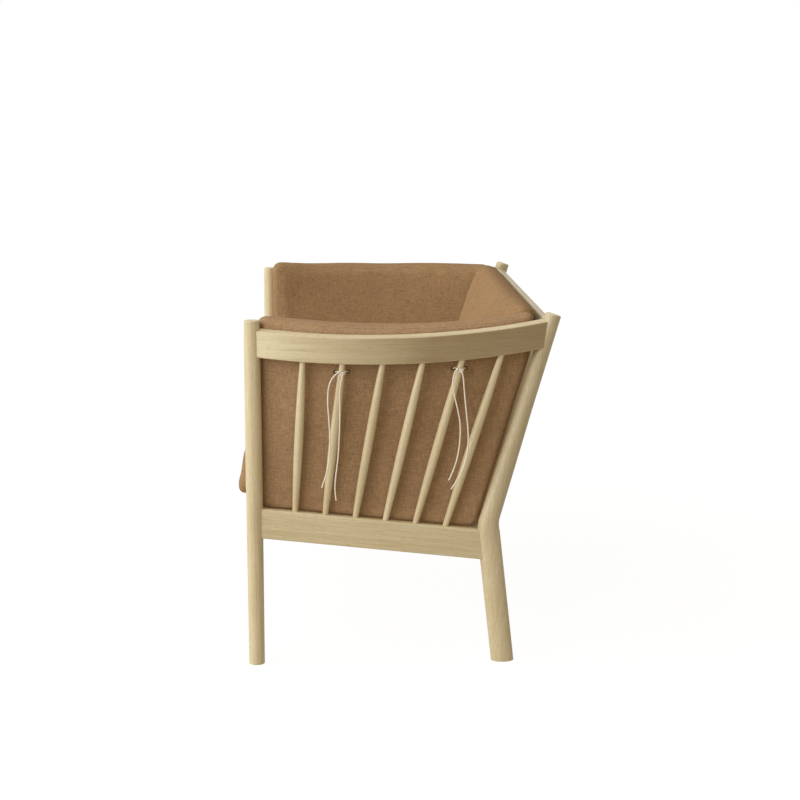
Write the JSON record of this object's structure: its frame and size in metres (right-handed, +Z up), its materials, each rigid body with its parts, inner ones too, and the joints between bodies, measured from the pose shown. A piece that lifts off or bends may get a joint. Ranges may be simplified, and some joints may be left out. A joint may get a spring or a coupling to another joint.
{
  "type": "loveseat",
  "caption": "Spindle loveseat: pale oak frame with raked rear legs and bowed arm rails, carrying loose fabric seat, back and arm cushions, the arm cushion laced with thongs.",
  "frame": {"origin": "on the floor below the middle of the whole", "axes": "+X is the sitter's left, along the length; -Y is the front; +Z is up"},
  "size_m": [1.35, 0.7098, 0.7889],
  "materials": {
    "oak": "pale oak, soaped or white-oiled, matt",
    "cushion_fabric": "woollen melange weave, matt",
    "thong_leather": "undyed leather thong, matt",
    "eyelet_metal": "satin"
  },
  "bodies": {
    "seat": {"back_cushion": "cushion_fabric", "back_rail": "oak", "back_spindle_01": "oak", "back_spindle_02": "oak", "back_spindle_03": "oak", "back_spindle_04": "oak", "back_spindle_05": "oak", "back_spindle_06": "oak", "back_spindle_07": "oak", "back_spindle_08": "oak", "back_spindle_09": "oak", "back_spindle_10": "oak", "back_spindle_11": "oak", "back_spindle_12": "oak", "back_spindle_13": "oak", "cushion_eyelets": "eyelet_metal", "front_cleat": "oak", "front_seat_rail": "oak", "left_arm_cushion": "cushion_fabric", "left_arm_rail": "oak", "left_arm_spindle_1": "oak", "left_arm_spindle_2": "oak", "left_arm_spindle_3": "oak", "left_arm_spindle_4": "oak", "left_arm_spindle_5": "oak", "left_arm_spindle_6": "oak", "left_front_leg": "oak", "left_rear_leg": "oak", "left_side_seat_rail": "oak", "rear_cleat": "oak", "rear_seat_rail": "oak", "right_arm_cushion": "cushion_fabric", "right_arm_rail": "oak", "right_arm_spindle_1": "oak", "right_arm_spindle_2": "oak", "right_arm_spindle_3": "oak", "right_arm_spindle_4": "oak", "right_arm_spindle_5": "oak", "right_arm_spindle_6": "oak", "right_front_leg": "oak", "right_rear_leg": "oak", "right_side_seat_rail": "oak", "seat_slat_01": "oak", "seat_slat_02": "oak", "seat_slat_03": "oak", "seat_slat_04": "oak", "seat_slat_05": "oak", "seat_slat_06": "oak", "seat_slat_07": "oak", "seat_slat_08": "oak", "seat_slat_09": "oak", "seat_slat_10": "oak", "tie_front_loop": "thong_leather", "tie_front_tail_a": "thong_leather", "tie_front_tail_b": "thong_leather", "tie_rear_loop": "thong_leather", "tie_rear_tail_a": "thong_leather", "tie_rear_tail_b": "thong_leather"},
    "loose_seat_cushion": {"seat_cushion": "cushion_fabric"}
  },
  "joints": [
    {"name": "seat_cushion_lift", "type": "slide", "parent": "seat", "child": "loose_seat_cushion", "axis": [0, 0, 1], "range_m": [0, 0.3]}
  ]
}
